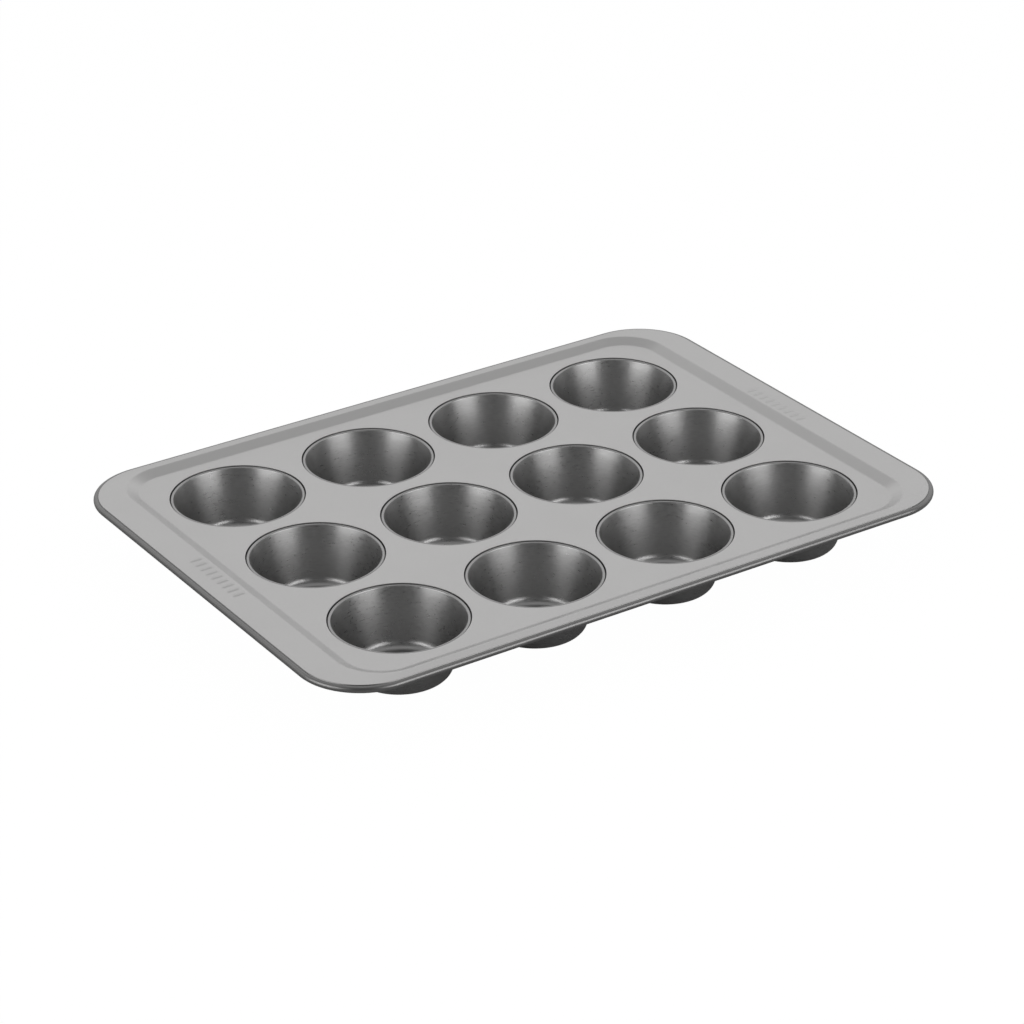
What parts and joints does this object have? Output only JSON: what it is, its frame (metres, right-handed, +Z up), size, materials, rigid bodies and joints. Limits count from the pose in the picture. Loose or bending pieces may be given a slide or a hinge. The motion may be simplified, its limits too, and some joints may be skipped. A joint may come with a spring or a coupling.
{
  "type": "muffin tin",
  "caption": "Grey coated steel muffin tin: a recessed pressed sheet with wider ends and a rolled wired edge, holding rows of separate tapered cups.",
  "frame": {"origin": "on the plane that the cups stand on, under the middle of the tin", "axes": "+X along the long side, towards one wide end; +Y across, towards the rear row of cups; +Z up, out of the cups"},
  "size_m": [0.3874, 0.281, 0.0344],
  "materials": {
    "sheet_coating": "satin grey non-stick coating with a fine metallic grain",
    "cup_coating": "satin grey non-stick coating, slightly smoother and darker inside the cups",
    "bare_wire": "bare drawn steel wire"
  },
  "bodies": {
    "root": {"top_sheet": "sheet_coating", "rim_wire": "bare_wire", "cup_front_1": "cup_coating", "cup_front_2": "cup_coating", "cup_front_3": "cup_coating", "cup_front_4": "cup_coating", "cup_middle_1": "cup_coating", "cup_middle_2": "cup_coating", "cup_middle_3": "cup_coating", "cup_middle_4": "cup_coating", "cup_rear_1": "cup_coating", "cup_rear_2": "cup_coating", "cup_rear_3": "cup_coating", "cup_rear_4": "cup_coating"}
  },
  "joints": []
}
